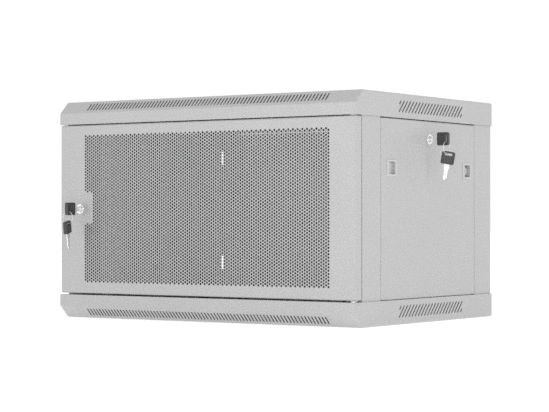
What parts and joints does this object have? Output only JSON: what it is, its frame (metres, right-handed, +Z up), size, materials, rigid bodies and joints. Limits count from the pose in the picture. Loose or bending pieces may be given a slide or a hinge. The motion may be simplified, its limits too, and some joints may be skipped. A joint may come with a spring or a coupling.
{
  "type": "wall-mounted network rack cabinet",
  "caption": "Shallow grey sheet-metal rack cabinet with a perforated hinged front door, vented frames, removable latched side panels and key locks.",
  "frame": {"origin": "centre of the underside", "axes": "+X to the hinge side of the door, +Y from the door to the wall, +Z up"},
  "size_m": [0.6465, 0.4952, 0.37],
  "materials": {
    "grey_paint": "light grey powder coat, semi-gloss with a fine texture",
    "zinc_steel": "bright zinc plate",
    "chrome_lock": "nickel-chrome plate",
    "key_plastic": "moulded dark grey plastic",
    "key_steel": "nickel-plated",
    "latch_plastic": "moulded grey plastic",
    "nylon": "natural nylon",
    "spring_steel": "bare spring wire"
  },
  "bodies": {
    "cabinet": {"top_frame": "grey_paint", "bottom_frame": "grey_paint", "post_front_left": "grey_paint", "post_front_right": "grey_paint", "post_rear_left": "grey_paint", "post_rear_right": "grey_paint", "back_panel": "grey_paint", "depth_bar_lower_left": "grey_paint", "depth_bar_lower_right": "grey_paint", "depth_bar_upper_left": "grey_paint", "depth_bar_upper_right": "grey_paint", "rail_front_left": "grey_paint", "rail_front_right": "grey_paint", "rail_rear_left": "grey_paint", "rail_rear_right": "grey_paint", "rail_bolts": "zinc_steel", "frame_screws": "zinc_steel", "plate_screws": "zinc_steel", "cable_cover_top": "grey_paint", "cable_cover_bottom": "grey_paint", "hinge_pin_lower": "zinc_steel", "hinge_bush_upper": "nylon"},
    "door": {"door_shell": "grey_paint", "door_mesh": "grey_paint", "door_bush_lower": "nylon", "hinge_spring": "spring_steel", "lock_body_door": "chrome_lock"},
    "door_hinge_pin": {"hinge_pin_upper": "zinc_steel"},
    "door_lock": {"lock_plug_door": "chrome_lock", "lock_cam_door": "zinc_steel", "lock_screw_door": "zinc_steel"},
    "door_key": {"key_bow_door": "key_plastic", "key_blade_door": "key_steel"},
    "door_key_ring": {"key_ring_door": "key_steel"},
    "door_spare_key": {"spare_bow_door": "key_plastic", "spare_blade_door": "key_steel"},
    "right_panel": {"side_panel_right": "grey_paint", "latch_housing_front_right": "latch_plastic", "latch_housing_rear_right": "latch_plastic", "lock_body_right": "chrome_lock"},
    "right_lock": {"lock_plug_right": "chrome_lock", "lock_cam_right": "zinc_steel", "lock_screw_right": "zinc_steel"},
    "right_key": {"key_bow_right": "key_plastic", "key_blade_right": "key_steel"},
    "right_key_ring": {"key_ring_right": "key_steel"},
    "right_spare_key": {"spare_bow_right": "key_plastic", "spare_blade_right": "key_steel"},
    "right_latch_front": {"latch_bolt_front_right": "latch_plastic"},
    "right_latch_rear": {"latch_bolt_rear_right": "latch_plastic"},
    "left_panel": {"side_panel_left": "grey_paint", "latch_housing_front_left": "latch_plastic", "latch_housing_rear_left": "latch_plastic", "lock_body_left": "chrome_lock"},
    "left_lock": {"lock_plug_left": "chrome_lock", "lock_cam_left": "zinc_steel", "lock_screw_left": "zinc_steel"},
    "left_latch_front": {"latch_bolt_front_left": "latch_plastic"},
    "left_latch_rear": {"latch_bolt_rear_left": "latch_plastic"}
  },
  "joints": [
    {"name": "door_swing", "type": "hinge", "parent": "cabinet", "child": "door", "pos_m": [0.2905, -0.2155, 0.186], "axis": [0, 0, 1], "range_deg": [0, 180]},
    {"name": "hinge_pin_release", "type": "slide", "parent": "door", "child": "door_hinge_pin", "axis": [0, 0, -1], "range_m": [0, 0.01], "stiffness_N_per_m": 250, "springref_m": -0.012, "deforming": ["hinge_spring"]},
    {"name": "door_lock_turn", "type": "hinge", "parent": "door", "child": "door_lock", "pos_m": [-0.2546, -0.224, 0.186], "axis": [0, 1, 0], "range_deg": [0, 90]},
    {"name": "door_key_pull", "type": "slide", "parent": "door_lock", "child": "door_key", "axis": [0, -1, 0], "range_m": [0, 0.035]},
    {"name": "door_key_ring_swing", "type": "hinge", "parent": "door_key", "child": "door_key_ring", "pos_m": [-0.2546, -0.25575, 0.1816], "axis": [1, 0, 0], "range_deg": [-80, 15]},
    {"name": "door_spare_key_swing", "type": "hinge", "parent": "door_key_ring", "child": "door_spare_key", "pos_m": [-0.2546, -0.25575, 0.1608], "axis": [0.9511, 0.309, 0], "range_deg": [-20, 20]},
    {"name": "right_panel_pull", "type": "slide", "parent": "cabinet", "child": "right_panel", "axis": [1, 0, 0], "range_m": [0, 0.25]},
    {"name": "right_lock_turn", "type": "hinge", "parent": "right_panel", "child": "right_lock", "pos_m": [0.298, 0.0075, 0.3], "axis": [1, 0, 0], "range_deg": [0, 90]},
    {"name": "right_key_pull", "type": "slide", "parent": "right_lock", "child": "right_key", "axis": [1, 0, 0], "range_m": [0, 0.035]},
    {"name": "right_key_ring_swing", "type": "hinge", "parent": "right_key", "child": "right_key_ring", "pos_m": [0.32975, 0.0075, 0.2956], "axis": [0, 1, 0], "range_deg": [-80, 12]},
    {"name": "right_spare_key_swing", "type": "hinge", "parent": "right_key_ring", "child": "right_spare_key", "pos_m": [0.32975, 0.0075, 0.2748], "axis": [-0.5592, 0.829, 0], "range_deg": [-20, 2]},
    {"name": "right_latch_front_slide", "type": "slide", "parent": "right_panel", "child": "right_latch_front", "axis": [0, -1, 0], "range_m": [0, 0.006]},
    {"name": "right_latch_rear_slide", "type": "slide", "parent": "right_panel", "child": "right_latch_rear", "axis": [0, 1, 0], "range_m": [0, 0.006]},
    {"name": "left_panel_pull", "type": "slide", "parent": "cabinet", "child": "left_panel", "axis": [-1, 0, 0], "range_m": [0, 0.25]},
    {"name": "left_lock_turn", "type": "hinge", "parent": "left_panel", "child": "left_lock", "pos_m": [-0.298, 0.0075, 0.3], "axis": [1, 0, 0], "range_deg": [0, 63]},
    {"name": "left_latch_front_slide", "type": "slide", "parent": "left_panel", "child": "left_latch_front", "axis": [0, -1, 0], "range_m": [0, 0.006]},
    {"name": "left_latch_rear_slide", "type": "slide", "parent": "left_panel", "child": "left_latch_rear", "axis": [0, 1, 0], "range_m": [0, 0.006]}
  ]
}
